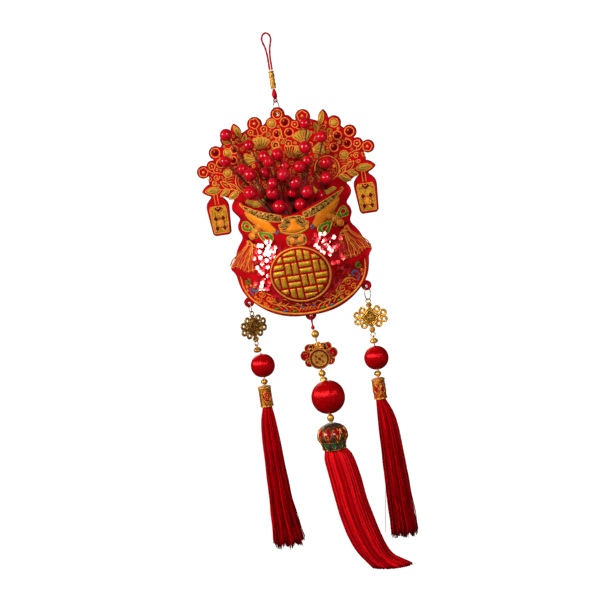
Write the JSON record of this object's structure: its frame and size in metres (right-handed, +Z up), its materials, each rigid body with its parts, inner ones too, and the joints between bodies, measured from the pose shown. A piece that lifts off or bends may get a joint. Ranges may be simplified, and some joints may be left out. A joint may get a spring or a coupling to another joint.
{
  "type": "tassel hanging",
  "caption": "Festive red felt hanging: a bag-shaped pocket of glossy berries and a padded medallion over drops of charms, wound balls and silk tassels.",
  "frame": {"origin": "where the hanging cord's loop rests on its hook", "axes": "+Z up, -Y towards the viewer, +X to the viewer's right"},
  "size_m": [0.1597, 0.0529, 0.4956],
  "materials": {
    "red_felt": "flocked felt",
    "gold_print": "raised gold print",
    "gold_glitter": "gold glitter",
    "orange_print": "raised print",
    "green_print": "raised print",
    "blue_print": "raised print",
    "red_sequin": "gloss",
    "berry_lacquer": "high gloss",
    "stem_tape": "wrapped tape",
    "red_cord": "twisted cord",
    "gold_metal": "polished",
    "antique_metal": "antique cast",
    "bright_wire": "bright",
    "red_enamel": "enamel",
    "red_silk": "silk thread",
    "gold_brocade": "woven brocade"
  },
  "bodies": {
    "root": {"felt_backing": "red_felt", "pocket_front": "red_felt", "medallion": "gold_glitter", "hanging_loop": "red_cord", "gold_sleeve": "gold_metal", "top_knot": "red_cord", "top_ring": "bright_wire", "berry_a01": "berry_lacquer", "berry_a02": "berry_lacquer", "berry_a03": "berry_lacquer", "berry_a04": "berry_lacquer", "berry_a05": "berry_lacquer", "berry_a06": "berry_lacquer", "berry_a07": "berry_lacquer", "berry_a08": "berry_lacquer", "berry_a09": "berry_lacquer", "berry_b01": "berry_lacquer", "berry_b02": "berry_lacquer", "berry_b03": "berry_lacquer", "berry_b04": "berry_lacquer", "berry_b05": "berry_lacquer", "berry_b06": "berry_lacquer", "berry_b07": "berry_lacquer", "berry_b08": "berry_lacquer", "berry_b09": "berry_lacquer", "berry_c01": "berry_lacquer", "berry_c02": "berry_lacquer", "berry_c03": "berry_lacquer", "berry_c04": "berry_lacquer", "berry_c05": "berry_lacquer", "berry_c06": "berry_lacquer", "berry_c07": "berry_lacquer", "berry_c08": "berry_lacquer", "berry_c09": "berry_lacquer", "left_ring": "bright_wire", "left_charm": "antique_metal", "left_upper_bead": "gold_metal", "left_ball": "red_silk", "left_lower_bead": "gold_metal", "left_cap": "gold_brocade", "left_tassel": "red_silk", "right_ring": "bright_wire", "right_charm": "antique_metal", "right_upper_bead": "gold_metal", "right_ball": "red_silk", "right_lower_bead": "gold_metal", "right_cap": "gold_brocade", "right_tassel": "red_silk", "middle_link": "red_cord", "middle_top_bead": "gold_metal", "middle_charm": "red_enamel", "middle_charm_bead": "gold_metal", "middle_cone": "gold_metal", "middle_ball": "red_silk", "middle_lower_bead": "gold_metal", "middle_cap": "antique_metal", "middle_tassel": "red_silk"}
  },
  "joints": []
}
